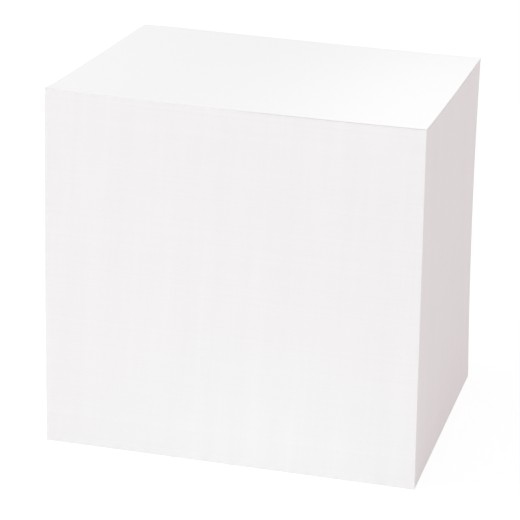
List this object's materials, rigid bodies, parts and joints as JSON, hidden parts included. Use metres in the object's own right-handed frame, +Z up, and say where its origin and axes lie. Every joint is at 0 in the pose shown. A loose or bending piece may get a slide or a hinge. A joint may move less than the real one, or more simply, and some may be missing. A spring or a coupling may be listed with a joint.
{
  "type": "memo pad",
  "caption": "Plain white memo block: a tall, loose stack of square note sheets, cut flush on all four sides.",
  "frame": {"origin": "on the surface that the block stands on, under the middle of the stack's outline seen from above; the bottom sheet's middle is 2 mm to its right and the top sheet's 2 mm to its left", "axes": "+Z up through the stack, square to the sheets; -Y out of the front side, +X to its right"},
  "size_m": [0.094, 0.0906, 0.086],
  "materials": {
    "paper": "matt, uncoated, with cut edges"
  },
  "bodies": {
    "root": {"paper_block": "paper"}
  },
  "joints": []
}
